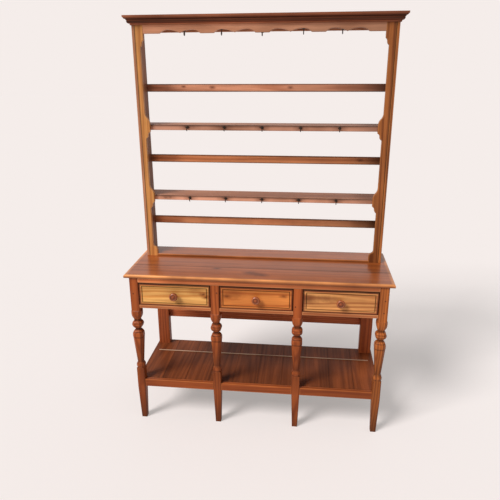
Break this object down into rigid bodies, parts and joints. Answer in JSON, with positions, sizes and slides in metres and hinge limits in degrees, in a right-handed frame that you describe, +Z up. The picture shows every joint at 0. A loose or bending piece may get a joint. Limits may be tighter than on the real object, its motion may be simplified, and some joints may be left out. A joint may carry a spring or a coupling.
{
  "type": "kitchen dresser",
  "caption": "Open-rack kitchen dresser in waxed pine: baluster front legs, pot board, drawers with turned knobs, plate rack with shelves and cup hooks, scalloped frieze and cornice.",
  "frame": {"origin": "on the floor under the middle of the bounding box", "axes": "+Z up, front faces -Y, +X to the right of someone facing the front"},
  "size_m": [1.258, 0.455, 1.945],
  "materials": {
    "pine": "waxed",
    "worktop_pine": "satin polish",
    "dark_pine": "waxed",
    "inner_pine": "bare",
    "drawer_pine": "waxed",
    "knob_wood": "polished",
    "cornice_pine": "waxed",
    "hook_metal": "dulled"
  },
  "bodies": {
    "carcass": {"back_board": "inner_pine", "cornice_front": "cornice_pine", "cornice_left": "cornice_pine", "cornice_right": "cornice_pine", "cup_hooks": "hook_metal", "drawer_guides": "inner_pine", "drawer_kickers": "inner_pine", "drawer_rail_left": "pine", "drawer_rail_middle": "pine", "drawer_rail_right": "pine", "drawer_runners": "inner_pine", "drawer_stops": "inner_pine", "end_rail_left": "pine", "end_rail_right": "pine", "frieze": "pine", "leg_back_left": "pine", "leg_back_right": "pine", "leg_front_inner_left": "pine", "leg_front_inner_right": "pine", "leg_front_left": "pine", "leg_front_right": "pine", "plate_rail_lower": "pine", "plate_rail_middle": "pine", "plate_rail_upper": "pine", "pot_bearers": "dark_pine", "pot_boards": "dark_pine", "pot_rail_left": "pine", "pot_rail_middle": "pine", "pot_rail_right": "pine", "pot_strip": "dark_pine", "rack_floor": "worktop_pine", "rack_side_left": "pine", "rack_side_right": "pine", "rack_stile_left": "pine", "rack_stile_right": "pine", "rack_top_board": "inner_pine", "rail_over_drawers": "pine", "rear_top_rail": "pine", "shelf_lower": "pine", "shelf_upper": "pine", "worktop_back_board": "worktop_pine", "worktop_front_board": "worktop_pine"},
    "drawer_left": {"drawer_left_front": "drawer_pine", "drawer_left_sides": "inner_pine", "drawer_left_back": "inner_pine", "drawer_left_bottom": "inner_pine", "drawer_left_knob": "knob_wood"},
    "drawer_middle": {"drawer_middle_front": "drawer_pine", "drawer_middle_sides": "inner_pine", "drawer_middle_back": "inner_pine", "drawer_middle_bottom": "inner_pine", "drawer_middle_knob": "knob_wood"},
    "drawer_right": {"drawer_right_front": "drawer_pine", "drawer_right_sides": "inner_pine", "drawer_right_back": "inner_pine", "drawer_right_bottom": "inner_pine", "drawer_right_knob": "knob_wood"}
  },
  "joints": [
    {"name": "drawer_left_slide", "type": "slide", "parent": "carcass", "child": "drawer_left", "axis": [0, -1, 0], "range_m": [0, 0.27]},
    {"name": "drawer_middle_slide", "type": "slide", "parent": "carcass", "child": "drawer_middle", "axis": [0, -1, 0], "range_m": [0, 0.27]},
    {"name": "drawer_right_slide", "type": "slide", "parent": "carcass", "child": "drawer_right", "axis": [0, -1, 0], "range_m": [0, 0.27]}
  ]
}
